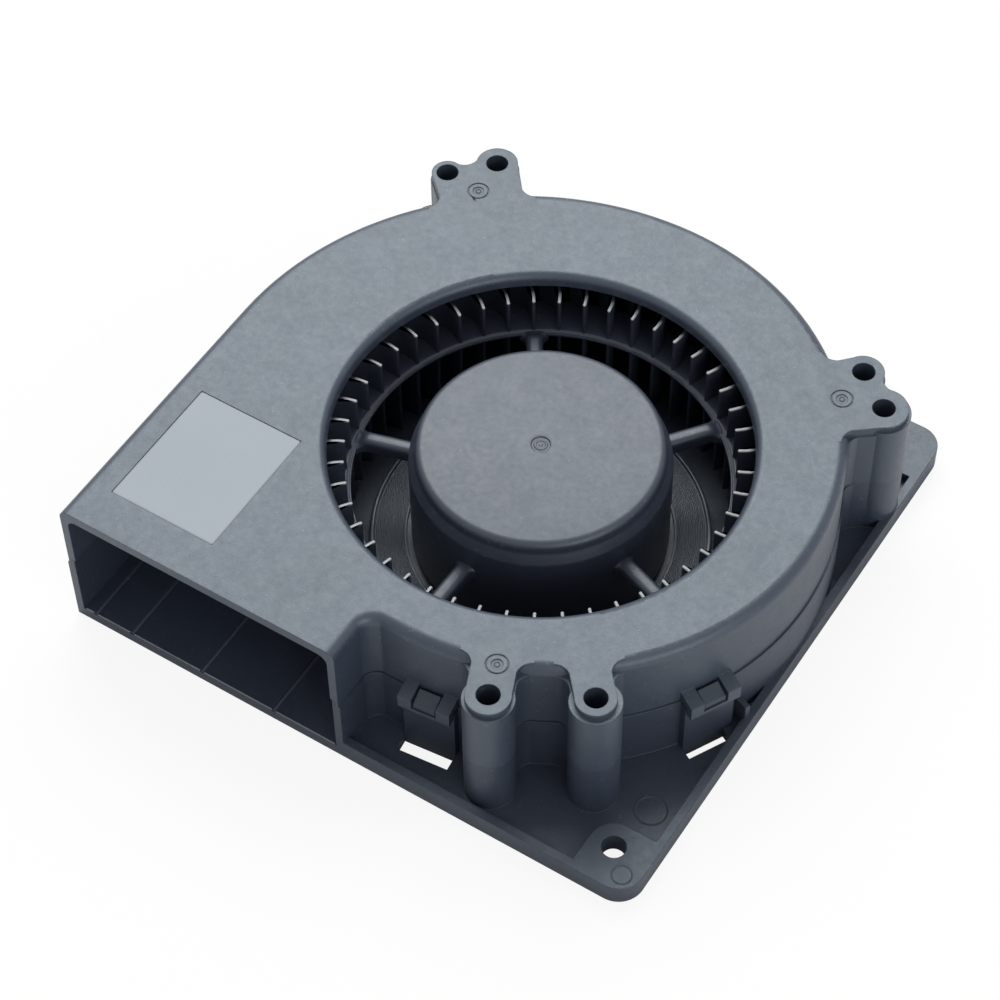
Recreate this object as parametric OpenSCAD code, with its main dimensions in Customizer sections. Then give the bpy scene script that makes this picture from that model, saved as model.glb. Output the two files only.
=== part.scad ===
/* [Plate] */
// Side of the square mounting plate
plate_w = 120; // [116:1:124]
// Thickness of the plate's floor
plate_t = 2.4; // [2:0.1:3]
// Height of the raised rim round the plate
rim_h = 4.5; // [4:0.1:5.5]
// Width of the rim
rim_w = 1.7; // [1.3:0.1:2.2]
// Corner radius of the plate
corner_r = 5; // [4:0.5:6]
// Distance from the plate's edge to the centre of a corner hole
hole_edge = 7.5; // [6.5:0.1:8.5]
// Diameter of the corner holes
hole_d = 4.5; // [3.5:0.1:5]
// Radius of the raised pad round each corner hole
pad_r = 4.8; // [4:0.1:5.4]

/* [Housing] */
// Height of the whole blower
body_h = 32; // [31:0.5:34]
// Height of the seam between base and cover
part_h = 16; // [15:0.5:17]
// Sideways place of the fan's axis from the plate's centre
axis_x = 4.8; // [4:0.1:5.4]
// Place of the fan's axis along the outlet's direction
axis_y = -0.2; // [-1:0.1:1]
// Growth of the scroll's radius in each quarter turn
scroll_step = 5.05; // [4.6:0.05:5.4]
// Wall thickness of the housing
wall = 1.6; // [1.4:0.1:1.8]
// How far the cover's wall stands back from the base's wall
cover_back = 0.35; // [0.2:0.05:0.5]
// Thickness of the cover's top face
top_t = 2; // [1.8:0.1:2.3]
// Radius of the cover's outer top edge
edge_r = 2; // [1:0.1:2.1]
// Radius of the edges inside the duct
inner_r = 2; // [0.8:0.1:2.2]
// Height of the lip that centres the cover on the base
lip_h = 1.4; // [1:0.1:2]
// Thickness of the lip
lip_t = 0.7; // [0.6:0.05:0.8]
// Outside width of the outlet duct
duct_w = 60.3; // [58:0.1:62]
// Radius of the corner between the duct and the scroll's front
tongue_r = 3; // [2:0.1:4]
// Width of the fine grooves in the duct's floor
line_w = 0.8; // [0.6:0.1:1]
// Depth of the fine grooves in the duct's floor
line_d = 0.2; // [0.15:0.05:0.3]
// Length of the fine grooves in the duct's floor
line_l = 30; // [20:1:34]

/* [Intake] */
// How far the cover reaches in over the blades
throat_lap = 4.8; // [4.4:0.1:5.4]
// Radius of the rolled edge of the intake
mouth_r = 1.6; // [1.2:0.1:1.8]
// Depth of the intake's collar under the top face
mouth_d = 2.8; // [2.4:0.1:3.2]
// Thickness of the collar's lower edge
mouth_t = 1.1; // [0.9:0.1:1.3]

/* [Screw posts] */
// Diameter of the screw holes through ears and posts
screw_d = 4.3; // [3.6:0.1:4.5]
// Radius of the round post bodies
post_r = 4.7; // [4.4:0.1:5]
// Drop from the top face to the shoulder of the front posts
pad_t = 1.2; // [0.8:0.1:2]
// Radius of the fillets where an ear meets the scroll
root_r = 3; // [2:0.1:4]
// Radius of the hollow between the two lobes of an ear
valley_r = 3; // [2:0.1:4]
// How far an ear stands proud below the cover's rounded edge
ear_step = 0.25; // [0.15:0.05:0.4]

/* [Catches] */
// Width of a catch loop
loop_w = 10.3; // [9.8:0.1:11]
// Width of each arm of the loop
loop_arm = 2.7; // [2.4:0.1:2.9]
// How far the loop stands out from the wall
loop_out = 3.2; // [2.8:0.1:3.4]
// Height of the loop
loop_h = 4; // [3.8:0.1:4.4]
// Slope of the loop's upper end
loop_slope = 0.8; // [0.5:0.1:1.2]
// How far the loop reaches below the seam
loop_drop = 1.6; // [1.4:0.1:2]
// Height of the bar that closes the loop
bar_h = 0.7; // [0.6:0.1:0.8]
// Height of the hook's upright nose
nose_h = 1.2; // [0.8:0.1:1.4]
// How far the flat under a catch stands out from the wall
flat_out = 1.3; // [1:0.1:1.5]
// Width of the mould slot under the front catch
slot_w = 3.4; // [3:0.1:3.8]
// Length of the mould slot under the front catch
slot_l = 10.3; // [9:0.1:11]
// Width of the mould slot under the side catch
side_slot_w = 2.3; // [2:0.1:2.6]
// Length of the mould slot under the side catch
side_slot_l = 8.6; // [7.6:0.1:8.8]

/* [Label] */
// Width of the blank label
label_w = 22.3; // [20:0.1:24]
// Length of the blank label
label_l = 27.6; // [25:0.1:30]
// Thickness of the label
label_t = 0.2; // [0.15:0.05:0.3]
// Depth of the label's recess
label_d = 0.3; // [0.3:0.05:0.5]
// Distance from the plate's left side to the label
label_x = 6; // [5:0.1:7]
// Distance from the outlet's face to the label
label_y = 8.3; // [7:0.1:10]

/* [Impeller] */
// Radius of the hub's top face
hub_r = 23.2; // [23:0.1:23.6]
// Radius of the hub's thicker skirt
skirt_r = 24.4; // [24.2:0.1:25]
// How far the hub's top face lies below the cover's
hub_drop = 2; // [1.4:0.1:2.4]
// Height of the step from the skirt to the hub's top face
hub_step = 3.2; // [2.5:0.1:4]
// Rounding of the skirt's upper edge
skirt_edge = 0.4; // [0.2:0.1:0.6]
// Height of the hub's lower edge
hub_low = 4.7; // [4.6:0.1:5.4]
// Thickness of the hub's top face
hub_t = 1.8; // [1.6:0.1:2]
// Rounding of the hub's top edge
hub_edge = 1.5; // [0.8:0.1:1.6]
// Number of blades
blades = 47; // [41:1:49]
// Thickness of a blade
blade_t = 0.8; // [0.7:0.05:1]
// Radial depth of the blades
blade_w = 8; // [7.4:0.1:8.6]
// Gap between the blades and the scroll's first arc
blade_room = 8.2; // [7.8:0.1:9]
// How far the blades' upper ends lie below the cover's top face
blade_drop = 4; // [3.6:0.1:5]
// Height of the blades' lower ends
blade_low = 4.2; // [4:0.1:5]
// Forward sweep of a blade, in degrees
blade_sweep = 6; // [4:0.5:8]
// Direction of the first blade, in degrees
blade_turn = 1.5; // [0:0.5:7.5]
// How far the ring that carries the blades reaches inside them
ring_lip = 0.8; // [0.5:0.1:1.4]
// Drop from the blades' upper ends to the ring's upper face
ring_drop = 8; // [7:0.1:9]
// Thickness of the ring
ring_t = 1; // [0.8:0.1:1.6]
// Number of ribs between hub and ring
ribs = 5; // [4:1:6]
// Width of a rib
rib_w = 3.2; // [2.8:0.1:3.6]
// Thickness of a rib
rib_t = 3; // [2.6:0.1:3.6]
// Rounding of a rib's upper edges
rib_edge = 1.2; // [0.6:0.1:1.3]
// How far the ribs stand above the ring
rib_rise = 0.7; // [0.4:0.1:0.9]
// Direction of the first rib, in degrees
rib_turn = 52; // [46:1:58]
// Radius of the corners between rib and ring
window_r = 2.2; // [1.6:0.1:3]

/* [Motor] */
// Height of the round motor seat's face
seat_h = 3.9; // [3.6:0.1:4]
// Gap between the motor seat's edge and the blades
seat_room = 3.6; // [3:0.1:4.2]
// Gap round the hub's skirt in the seat's recess
recess_gap = 1; // [0.6:0.1:1.6]
// Height of the recess's floor under the hub
recess_h = 3.3; // [3:0.1:3.5]
// Height of the bead round the motor seat
bead_h = 0.4; // [0.3:0.05:0.5]
// Width of the bead
bead_w = 0.8; // [0.6:0.1:1]
// Diameter of the shaft
shaft_d = 3; // [2.8:0.1:3.2]
// Outer radius of the bearings
bearing_r = 4; // [3.9:0.05:4.2]
// Height of a bearing
bearing_h = 4; // [3.6:0.1:4.2]
// Number of balls in a bearing
balls = 7; // [6:1:8]
// Radius of a ball
ball_r = 0.75; // [0.7:0.01:0.8]
// Wall of the bearing tube
tube_wall = 1; // [0.9:0.05:1.2]
// Radius of the circuit board
board_r = 20.4; // [19.6:0.1:20.6]
// Thickness of the circuit board
board_t = 1.2; // [1:0.1:1.6]
// Height of the circuit board's underside
board_z = 5; // [4.8:0.1:5.2]
// Outer radius of the stator
stator_r = 18.8; // [18:0.1:19]
// Height of the stator's plates together
stack_h = 8; // [7:0.5:8.5]
// Height of the stator's underside
stack_z = 11.2; // [11:0.1:11.6]
// Thickness of each insulator
insul_t = 1.2; // [1:0.1:1.3]
// Width of a stator arm
arm_w = 4; // [3.6:0.1:4.4]
// Depth of a pole shoe
shoe_t = 2; // [1.8:0.1:2.2]
// Half of the angle that a pole shoe covers, in degrees
shoe_half = 38; // [34:1:40]
// Outer radius of the stator's hub
core_r = 8; // [7.8:0.1:8.4]
// Thickness of the wire wound on each arm
coil_t = 2.6; // [2:0.1:2.8]
// Radial thickness of the ring magnet
magnet_t = 2; // [1.6:0.1:2.2]
// Air gap between stator and magnet
air_gap = 0.4; // [0.3:0.05:0.5]
// Height of the ring magnet
magnet_h = 12; // [10:0.5:13]
// Height of the magnet's lower edge
magnet_z = 8; // [7.8:0.1:8.4]
// Wall of the steel rotor cup
yoke_t = 1; // [0.8:0.05:1.1]
// Height of the rotor cup's lower edge
yoke_z = 7; // [6.8:0.1:7.6]

/* [Fits] */
// Radial clearance of pressed and seated round parts
fit = 0.02; // [0.01:0.01:0.04]
// Clearance between parts that only lie close together
gap = 0.3; // [0.25:0.05:0.35]

/* [Hidden] */
$fn = 96;
// how far a cut runs past the face that it opens
over = 1;
// how deep a joined shape sinks into what carries it
sink = 0.4;

axis = [axis_x, axis_y];
plate_x = plate_w / 2;
left_x = -plate_x;
front_y = -plate_x;
duct_x = left_x + duct_w;
quarter_r = plate_x + axis_x - 2.5 * scroll_step;
arc_a = axis + [scroll_step / 2, scroll_step / 2];
arc_b = axis + [-scroll_step / 2, scroll_step / 2];
arc_c = axis - [scroll_step / 2, scroll_step / 2];
// quarter turns of the scroll: centre, radius and first direction
ARCS = [[arc_a, quarter_r, -90], [arc_b, quarter_r + scroll_step, 0],
    [arc_c, quarter_r + 2 * scroll_step, 90]];
scroll_front = arc_a[1] - quarter_r;
hole_pitch = plate_w - 2 * hole_edge;
hole_xy = hole_pitch / 2;
CORNERS = [[hole_xy, -hole_xy], [hole_xy, hole_xy], [-hole_xy, hole_xy]];

// screw holes as shares of the plate's half width
post_xy_shares = [[-0.647, 0.893], [-0.763, 0.773], [0.788, 0.743], [0.908, 0.648], [0.447, -0.875],
    [0.712, -0.722]];
// radii of the lobes round the holes, and of the round bodies under them, as shares of the post's
post_lobe_shares = [0.872, 0.66, 0.83, 0.98, 0.872, 0.787];
post_body_shares = [0.872, 0.66, 0.83, 1.1, 1, 1];
// the arc of the scroll that each ear joins
post_arc = [2, 2, 1, 1, 0, 0];
// sides of each ear that meet the scroll in a fillet: 1 left, -1 right, seen towards the axis
post_roots = [[1], [-1], [-1], [1], [-1, 1], [-1, 1]];
POSTS = [for (k = [0:5]) k];
// the first ear of each joined pair
PAIRS = [0, 2];
// where an ear's top meets the cover's rounded edge
edge_reach = 0.6 * edge_r;
// share of a radius at which two round shapes cross instead of only touching
meet = 0.98;

// catches: direction from the first arc's centre, in degrees
catch_at = [-84, -28.3];
SLOTS = [[slot_w, slot_l], [side_slot_w, side_slot_l]];
// stiffening rib between scroll and rim: its direction, width, height and reach
stop_at = -20.3;
stop_w = 1.1;
stop_h = 8;
stop_l = 3.3;
// channel for the leads in the underside
lead_w = 3.6;
lead_d = 1.2;
// places of the duct's floor grooves as shares of its width
line_x_shares = [0.072, 0.211, 0.476, 0.743];
// round marks of the mould's pins in the cover's top face, as shares of the plate's half width
mark_xy_shares = [[-0.633, 0.757], [0.782, 0.613], [0.412, -0.773]];
mark_r = 2.1;
mark_w = 0.25;
mark_d = 0.15;

// impeller: radii from the scroll's, heights from the cover's top face
blade_out = quarter_r - blade_room;
blade_in = blade_out - blade_w;
throat_r = blade_out - throat_lap;
ring_in = blade_in - ring_lip;
hub_top = body_h - hub_drop;
skirt_top = hub_top - hub_step;
blade_top = body_h - blade_drop;
ring_top = blade_top - ring_drop;
blade_cuts = 5;
seat_r = blade_in - seat_room;
recess_r = skirt_r + recess_gap;

// rotor cup, bushing and shaft
shaft_r = shaft_d / 2;
magnet_in = stator_r + air_gap;
magnet_out = magnet_in + magnet_t;
yoke_in = magnet_out + fit;
yoke_out = yoke_in + yoke_t;
yoke_top = hub_top - hub_t;
cup_r = yoke_out + fit;
bush_r = 3;
// retaining clip in the shaft's groove
clip_t = 0.5;
groove_d = 0.3;

// bearing tube: its drop below the cup, its lower end and the flange that carries the stator
tube_in = bearing_r + fit;
tube_out = tube_in + tube_wall;
tube_z = 1.2;
tube_drop = 7.2;
tube_top = yoke_top - tube_drop;
collar_z = board_z + board_t;
collar_top = stack_z - insul_t;
collar_r = tube_out + 1.3 * tube_wall;
boss_r = tube_out + 1.2 * tube_wall;
// bearings: height of the lower one, the upper one at the tube's end, width of a race
low_bearing_z = 3.2;
high_bearing_z = tube_top - bearing_h;
race_w = 0.75;
step_r = bearing_r - 0.8 * tube_wall;
ball_track = (shaft_r + bearing_r) / 2;
cage_w = ball_r / 2;
cage_h = ball_r * 2 / 3;

// preload spring between bearing and bushing
spring_room = 1.4;
spring_wire = 0.15;
spring_gap = 0.35;
spring_turns = 3;
spring_steps = 24;
spring_sides = 8;
bush_low = tube_top + spring_room;
clip_z = low_bearing_z - clip_t;

// terminal pins, and the parts on the circuit board: width, length and height
pin_r = 0.35;
pin_at = core_r - 3 * pin_r;
chip = [3.9, 4.9, 1.2];
sensor = [1.6, 3, 1.2];
can_r = 1.8;
can_h = 4.5;
part_reach = 13;

function post_xy(k) = post_xy_shares[k] * plate_x;
function post_lobe(k) = post_lobe_shares[k] * post_r;
function post_body(k) = post_body_shares[k] * post_r;
function towards_axis(k) = (axis - post_xy(k)) / norm(axis - post_xy(k));
function left_of(u) = [-u[1], u[0]];

// centre of the fillet circle between one side of an ear and the scroll's arc
function root_centre(k, r, side, inset) =
    let (u = towards_axis(k), arc = ARCS[post_arc[k]])
    let (a = post_xy(k) + side * meet * (r + root_r) * left_of(u))
    let (w = a - arc[0], reach = arc[1] - inset + meet * root_r)
    a + u * (-(w * u) - sqrt((w * u) * (w * u) - (w * w) + reach * reach));

// a quarter turn of the scroll, from the arc's centre out, set in by inset and rounded at its upper edge
module quarter(arc, inset, z0, z1, round) {
    r = arc[1] - inset;
    translate([arc[0][0], arc[0][1], 0]) rotate([0, 0, arc[2]])
        rotate_extrude(angle = 90) translate([0, z0]) rounded_section(r, z1 - z0, round);
}

// rectangle with its upper right corner rounded
module rounded_section(w, h, round) {
    if (round > 0) {
        square([w - round, h]);
        square([w, h - round]);
        translate([w - round, h - round]) circle(round);
    } else {
        square([w, h]);
    }
}

// rectangle with both upper corners rounded
module arch_section(w, h, round) {
    translate([w / 2, 0]) rounded_section(w / 2, h, round);
    translate([w / 2, 0]) mirror([1, 0]) rounded_section(w / 2, h, round);
}

// straight duct from the front face to the last arc's centre
module duct(inset, z0, z1, round, reach) {
    len = arc_c[1] - front_y + reach;
    translate([left_x + inset, arc_c[1], z0]) rotate([90, 0, 0])
        linear_extrude(len) arch_section(duct_w - 2 * inset, z1 - z0, round);
}

// block between the duct and the first arc, with its front edge rounded
module tongue_block(inset, z0, z1, round) {
    x0 = left_x + duct_w / 2;
    w = arc_a[1] - scroll_front - inset;
    translate([x0, arc_a[1], z0]) rotate([90, 0, 90])
        linear_extrude(arc_a[0] - x0) mirror([1, 0]) rounded_section(w, z1 - z0, round);
}

// hollow corner between the duct's side and the scroll's front, turned about the corner's own centre
module tongue_corner(inset, z0, z1, round) {
    r = (tongue_r + inset) / meet;
    translate([duct_x + tongue_r, scroll_front - tongue_r, z0]) rotate([0, 0, 90])
        rotate_extrude(angle = 90) translate([2 * r + round, 0])
            mirror([1, 0]) rounded_section(r + round, z1 - z0, round);
}

// the whole scroll and duct as one solid, set in by inset
module scroll_body(inset, z0, z1, round, reach = 0) {
    for (arc = ARCS) quarter(arc, inset, z0, z1, round);
    duct(inset, z0, z1, round, reach);
    tongue_block(inset, z0, z1, round);
    tongue_corner(inset, z0, z1, round);
}

// plan of the fillet where an ear meets the scroll
module root_fillet(k, r, side, inset) {
    u = towards_axis(k);
    arc = ARCS[post_arc[k]];
    c = root_centre(k, r, side, inset);
    to_arc = (arc[0] - c) / norm(arc[0] - c);
    past = root_r + sink;
    t1 = c - side * past * left_of(u);
    t2 = c + past * to_arc;
    difference() {
        polygon([c, t1, t1 + u * 2 * root_r, t2 + u * root_r, t2]);
        translate(c) circle(root_r);
    }
}

// plan of an ear: its lobe and the neck that joins it to the scroll
module ear_plan(k, r, inset) {
    u = towards_axis(k);
    w = 2 * r * meet;
    translate(post_xy(k)) circle(r);
    translate(post_xy(k)) rotate([0, 0, atan2(u[1], u[0])])
        translate([0, -w / 2]) square([neck(post_xy(k), k), w]);
    for (side = post_roots[k]) root_fillet(k, r, side, inset);
}

// plan of the web between the two lobes of a double ear, hollow towards the outside
module valley_plan(k, grow) {
    a = post_xy(k);
    b = post_xy(k + 1);
    da = meet * (post_lobe(k) + grow + valley_r);
    db = meet * (post_lobe(k + 1) + grow + valley_r);
    mid = (a + b) / 2;
    u = (b - a) / norm(b - a);
    out = left_of(u) * sign(left_of(u) * (mid - axis));
    along = (da * da - db * db + (b - a) * (b - a)) / (2 * norm(b - a));
    c = a + u * along + out * sqrt(da * da - along * along);
    difference() {
        polygon([a, c, b, mid - out * neck(mid, k)]);
        translate(c) circle(valley_r);
    }
}

// length that carries a neck from a point outside the scroll into its wall
function neck(p, k) = norm(p - ARCS[post_arc[k]][0]) - ARCS[post_arc[k]][1] + 3 * wall;

module rounded_square(w, r) {
    square([w - 2 * r, w], center = true);
    square([w, w - 2 * r], center = true);
    for (x = [-1, 1], y = [-1, 1]) translate([x, y] * (w / 2 - r)) circle(r);
}

// plan of the raised pad round a corner hole, out to the plate's corner
module corner_pad(p) {
    translate(p) circle(pad_r);
    intersection() {
        rounded_square(plate_w, corner_r);
        translate(p) mirror([p[0] < 0 ? 1 : 0, 0]) mirror([0, p[1] < 0 ? 1 : 0]) {
            translate([-pad_r, 0]) square(2 * pad_r);
            translate([0, -pad_r]) square(2 * pad_r);
        }
    }
}

module catch_place(a) {
    translate([arc_a[0], arc_a[1], 0]) rotate([0, 0, a]) translate([quarter_r, 0, 0]) children();
}

// upright outline, out from the wall, made w wide along the wall
module beside_wall(w) {
    rotate([90, 0, 0]) translate([0, 0, -w / 2]) linear_extrude(w) children();
}

// hook on the base that holds a loop of the cover, with the flat that it stands on
module hook() {
    z = part_h - loop_drop + bar_h + gap;
    out = loop_out - gap;
    seat = part_h - gap;
    translate([-sink, -loop_w / 2, 0]) cube([flat_out + sink, loop_w, seat]);
    beside_wall(loop_w - 2 * loop_arm - 2 * gap)
        polygon([[-sink, z], [out, z], [out, z + nose_h], [gap / 2, part_h - loop_drop + loop_h - 2 * gap],
            [gap / 2, seat], [-sink, seat]]);
}

// loop on the cover that drops over a hook of the base
module catch_loop() {
    low = part_h - loop_drop;
    top = low + loop_h;
    inner = flat_out + gap;
    for (side = [-1, 1]) translate([0, side * (loop_w - loop_arm) / 2, 0]) beside_wall(loop_arm)
        polygon([[inner, low], [loop_out, low], [loop_out, top - loop_slope], [-cover_back - sink, top],
            [-cover_back - sink, part_h + gap], [inner, part_h + gap]]);
    translate([inner, -loop_w / 2, low]) cube([loop_out - inner, loop_w, bar_h]);
}

// one blade in plan, leaning forward in the turning direction
function blade_at(t, side) =
    let (r = blade_in + (blade_out - blade_in) * t, a = blade_sweep * pow(t, 1.5))
    let (half = side * blade_t / 2 * 180 / (PI * r))
    r * [cos(a + half), sin(a + half)];

module blade_plan() {
    front = [for (i = [0:blade_cuts]) blade_at(i / blade_cuts, -1)];
    back = [for (i = [blade_cuts:-1:0]) blade_at(i / blade_cuts, 1)];
    polygon(concat(front, back));
}

module ring(outer, inner, h) {
    difference() {
        cylinder(r = outer, h = h);
        translate([0, 0, -over]) cylinder(r = inner, h = h + 2 * over);
    }
}

module on_axis(z = 0) {
    translate([axis_x, axis_y, z]) children();
}

// plan of the ring that carries the blades, with its fillets to the ribs
module carrier_plan() {
    difference() {
        circle(blade_out - sink);
        circle(ring_in);
    }
    for (i = [0:ribs - 1]) rotate([0, 0, rib_turn + 360 * i / ribs]) window_corner();
}

// plan of the fillets between one rib and the ring
module window_corner() {
    reach = ring_in - meet * window_r;
    up = rib_w / 2 + meet * window_r;
    low = rib_w / 2 - sink;
    far = ring_in + sink;
    x = sqrt(reach * reach - up * up);
    for (side = [-1, 1]) {
        c = [x, side * up];
        difference() {
            polygon([c, [x, side * low], [far, side * low], c * far / reach]);
            translate(c) circle(window_r);
        }
    }
}

module bearing_section(r0, r1) {
    difference() {
        translate([r0, 0]) square([r1 - r0, bearing_h]);
        translate([ball_track, bearing_h / 2]) circle(ball_r + fit);
    }
}

module outer_ring() {
    rotate_extrude() bearing_section(bearing_r - race_w, bearing_r);
}

module inner_ring() {
    rotate_extrude() bearing_section(shaft_r + fit, shaft_r + race_w);
}

module ball_set() {
    for (i = [0:balls - 1]) rotate([0, 0, 360 * i / balls])
        translate([ball_track, 0, 0]) sphere(ball_r, $fn = 32);
    translate([0, 0, -cage_h / 2]) ring(ball_track + cage_w / 2, ball_track - cage_w / 2, cage_h);
}

// plan of the stator: hub, arms and pole shoes
module stator_plan() {
    circle(core_r);
    for (i = [0:3]) rotate([0, 0, 90 * i]) {
        translate([0, -arm_w / 2]) square([stator_r - shoe_t / 2, arm_w]);
        shoe_plan();
    }
}

module shoe_plan() {
    out = 2 * stator_r * cos(shoe_half);
    half = 2 * stator_r * sin(shoe_half);
    difference() {
        intersection() {
            circle(stator_r);
            polygon([[0, 0], [out, -half], [out, half]]);
        }
        circle(stator_r - shoe_t);
    }
}

module base() {
    color([0.13, 0.14, 0.17]) difference() {
        union() {
            difference() {
                base_outside();
                base_hollow();
            }
            motor_seat();
        }
        for (p = CORNERS) translate([p[0], p[1], -over]) cylinder(d = hole_d, h = rim_h + 2 * over);
        for (k = POSTS) translate([post_xy(k)[0], post_xy(k)[1], -over]) cylinder(d = screw_d, h = body_h);
        for (i = [0, 1]) catch_place(catch_at[i])
            translate([flat_out, -loop_w / 2, -over]) cube([SLOTS[i][0], SLOTS[i][1], plate_t + 2 * over]);
        for (x = line_x_shares * duct_w)
            translate([left_x + x - line_w / 2, front_y - over, plate_t - line_d])
                cube([line_w, line_l + over, line_d + sink]);
        on_axis(tube_z) cylinder(r = tube_out + fit, h = body_h);
        lead_channel();
    }
}

module base_outside() {
    linear_extrude(plate_t) rounded_square(plate_w, corner_r);
    difference() {
        linear_extrude(rim_h) rounded_square(plate_w, corner_r);
        translate([0, 0, -over]) linear_extrude(rim_h + 2 * over)
            rounded_square(plate_w - 2 * rim_w, corner_r - rim_w);
    }
    for (p = CORNERS) linear_extrude(rim_h) corner_pad(p);
    scroll_body(0, 0, part_h, 0);
    scroll_body(wall - lip_t, part_h - sink, part_h + lip_h, 0);
    for (k = POSTS) post_foot(k);
    for (k = PAIRS) linear_extrude(part_h) valley_plan(k, ear_step);
    for (a = catch_at) catch_place(a) hook();
    catch_place(stop_at) translate([-sink, -stop_w / 2, 0]) cube([stop_l, stop_w, stop_h]);
}

// lower part of an ear, with the round body of the post where it is the larger
module post_foot(k) {
    linear_extrude(part_h) ear_plan(k, post_lobe(k) + ear_step, 0);
    if (post_body(k) > post_lobe(k)) translate(post_xy(k)) cylinder(r = post_body(k), h = part_h);
}

// air space of the base, open at the outlet and at the seam
module base_hollow() {
    scroll_body(wall, plate_t, part_h + lip_h + over, 0, over);
}

// round seat of the motor: its face, the bead round it, the recess under the hub and the boss in its middle
module motor_seat() {
    low = plate_t - sink;
    difference() {
        on_axis(low) {
            cylinder(r = seat_r, h = seat_h - low);
            ring(seat_r, seat_r - bead_w, seat_h + bead_h - low);
        }
        on_axis(recess_h) cylinder(r = recess_r, h = board_z);
    }
    on_axis(low) cylinder(r = boss_r, h = board_z - low);
}

// channel in the underside that takes the leads from the board to the back edge
module lead_channel() {
    translate([axis_x - lead_w / 2, axis_y + board_r - 2 * lead_w, -over]) {
        cube([lead_w, plate_w, lead_d + over]);
        cube([lead_w, lead_w, board_z + over]);
    }
}

module cover() {
    color([0.33, 0.35, 0.38]) difference() {
        union() {
            scroll_body(cover_back, part_h, body_h, edge_r);
            for (k = POSTS) cover_ear(k);
            for (k = PAIRS) cover_valley(k);
            for (a = catch_at) catch_place(a) catch_loop();
        }
        cover_hollow();
        on_axis(body_h - top_t - over) cylinder(r = throat_r + mouth_r, h = top_t + 2 * over);
        for (k = POSTS) translate([post_xy(k)[0], post_xy(k)[1], part_h - over])
            cylinder(d = screw_d, h = body_h);
        translate([left_x + label_x, front_y + label_y, body_h - label_d]) cube([label_w, label_l, over]);
        for (p = mark_xy_shares * plate_x) translate([p[0], p[1], body_h - mark_d]) pin_mark();
    }
    color([0.33, 0.35, 0.38]) on_axis() intake_collar();
}

// mark of a mould pin: a fine ring and a round dimple in its middle
module pin_mark() {
    ring(mark_r, mark_r - mark_w, over);
    cylinder(d = mark_r, h = over);
}

// upper part of an ear: a little wider below the cover's rounded edge, with the post's body to its shoulder
module cover_ear(k) {
    translate([0, 0, part_h]) linear_extrude(body_h - edge_r - part_h)
        ear_plan(k, post_lobe(k) + ear_step, cover_back);
    translate([0, 0, body_h - edge_r - sink]) linear_extrude(edge_r + sink)
        ear_plan(k, post_lobe(k), cover_back + edge_reach);
    if (post_body(k) > post_lobe(k)) translate([post_xy(k)[0], post_xy(k)[1], part_h])
        cylinder(r = post_body(k), h = body_h - pad_t - part_h);
}

module cover_valley(k) {
    translate([0, 0, part_h]) linear_extrude(body_h - edge_r - part_h) valley_plan(k, ear_step);
    translate([0, 0, body_h - edge_r - sink]) linear_extrude(edge_r + sink) valley_plan(k, 0);
}

// air space of the cover, with room for the base's lip
module cover_hollow() {
    scroll_body(wall + cover_back, part_h - over, body_h - top_t, inner_r, over);
    scroll_body(wall - lip_t - fit, part_h - over, part_h + lip_h + fit, 0, over);
}

module intake_collar() {
    rotate_extrude() {
        intersection() {
            translate([throat_r + mouth_r, body_h - mouth_r]) circle(mouth_r);
            translate([throat_r, body_h - mouth_r]) square([mouth_r + sink, mouth_r]);
        }
        translate([throat_r + mouth_r, body_h - top_t]) square([sink, top_t]);
        translate([throat_r, body_h - mouth_d]) square([mouth_t, mouth_d - mouth_r]);
        translate([throat_r, body_h - top_t]) square([mouth_r + sink, top_t - mouth_r]);
    }
}

module label() {
    color([0.72, 0.74, 0.76]) translate([left_x + label_x + fit, front_y + label_y + fit, body_h - label_d])
        cube([label_w - 2 * fit, label_l - 2 * fit, label_t]);
}

module impeller() {
    color([0.10, 0.11, 0.14]) on_axis() {
        rotate_extrude() hub_section();
        translate([0, 0, ring_top - ring_t]) linear_extrude(ring_t) carrier_plan();
        for (i = [0:ribs - 1]) rotate([0, 0, rib_turn + 360 * i / ribs])
            translate([skirt_r - sink, -rib_w / 2, ring_top + rib_rise - rib_t]) rotate([90, 0, 90])
                linear_extrude(ring_in - skirt_r + 2 * sink) arch_section(rib_w, rib_t, rib_edge);
        for (i = [0:blades - 1]) rotate([0, 0, blade_turn + 360 * i / blades])
            translate([0, 0, blade_low]) linear_extrude(blade_top - blade_low) blade_plan();
    }
}

module hub_section() {
    h = hub_top - skirt_top;
    difference() {
        union() {
            translate([0, skirt_top]) rounded_section(hub_r, h, hub_edge);
            translate([0, hub_low]) rounded_section(skirt_r, skirt_top - hub_low, skirt_edge);
        }
        translate([-over, hub_low - over]) square([cup_r + over, yoke_top - hub_low + over]);
    }
}

module rotor_cup() {
    color([0.62, 0.63, 0.65]) on_axis() difference() {
        translate([0, 0, yoke_z]) cylinder(r = yoke_out, h = yoke_top - yoke_z);
        translate([0, 0, yoke_z - over]) cylinder(r = yoke_in, h = yoke_top - yoke_t - yoke_z + over);
        translate([0, 0, yoke_top - yoke_t - over]) cylinder(r = bush_r + fit, h = yoke_t + 2 * over);
    }
}

module ring_magnet() {
    color([0.20, 0.19, 0.19]) on_axis(magnet_z) ring(magnet_out, magnet_in, magnet_h);
}

module shaft_bushing() {
    color([0.78, 0.65, 0.35]) on_axis() difference() {
        union() {
            translate([0, 0, bush_low]) cylinder(r = bush_r, h = yoke_top - bush_low);
            translate([0, 0, yoke_top - yoke_t - clip_t]) cylinder(r = bush_r + yoke_t, h = clip_t);
        }
        translate([0, 0, bush_low - over]) cylinder(r = shaft_r + fit, h = yoke_top);
    }
}

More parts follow.
